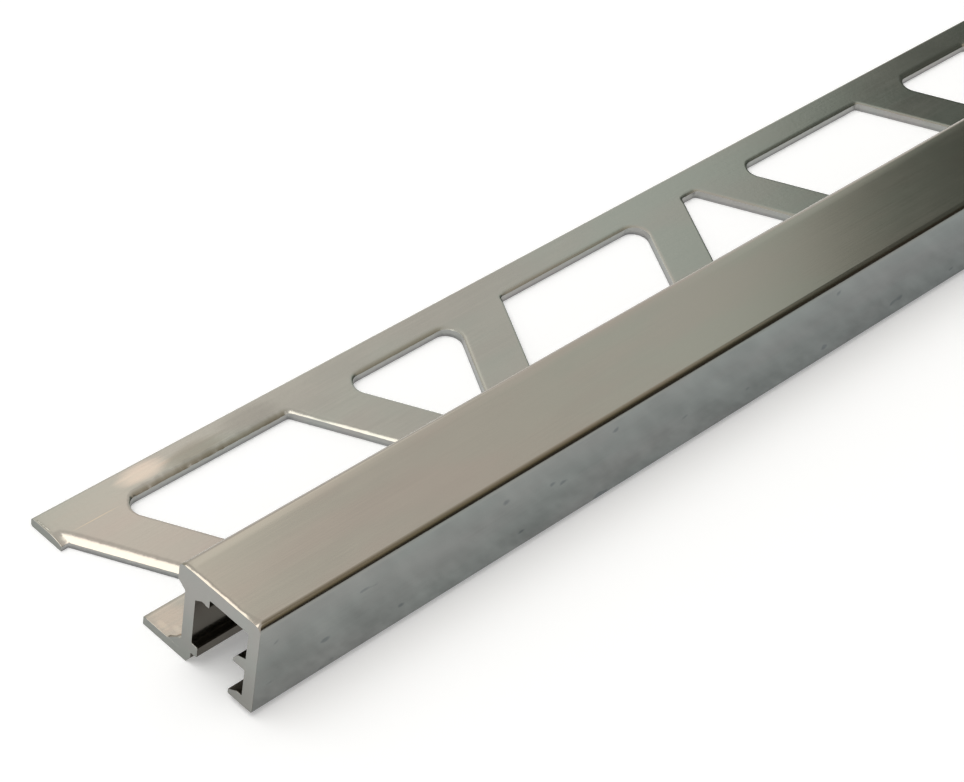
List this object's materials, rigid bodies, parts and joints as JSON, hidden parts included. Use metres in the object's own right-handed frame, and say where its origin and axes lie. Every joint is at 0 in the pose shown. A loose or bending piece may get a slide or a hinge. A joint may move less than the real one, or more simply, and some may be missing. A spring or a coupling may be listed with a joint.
{
  "type": "tile edge trim",
  "caption": "Square aluminium edge trim for tiled corners: open square channel with inner retaining ribs on a flat anchoring leg punched with slanted holes.",
  "frame": {"origin": "middle of the length and of the overall width, at the level of the leg's underside", "axes": "+X along the trim, +Y from the visible front face towards the leg's outer edge, +Z from the leg's underside up to the visible top"},
  "size_m": [1, 0.034, 0.0125],
  "materials": {
    "aluminium": "satin anodised, finely brushed along the length"
  },
  "bodies": {
    "root": {"trim_profile": "aluminium"}
  },
  "joints": []
}
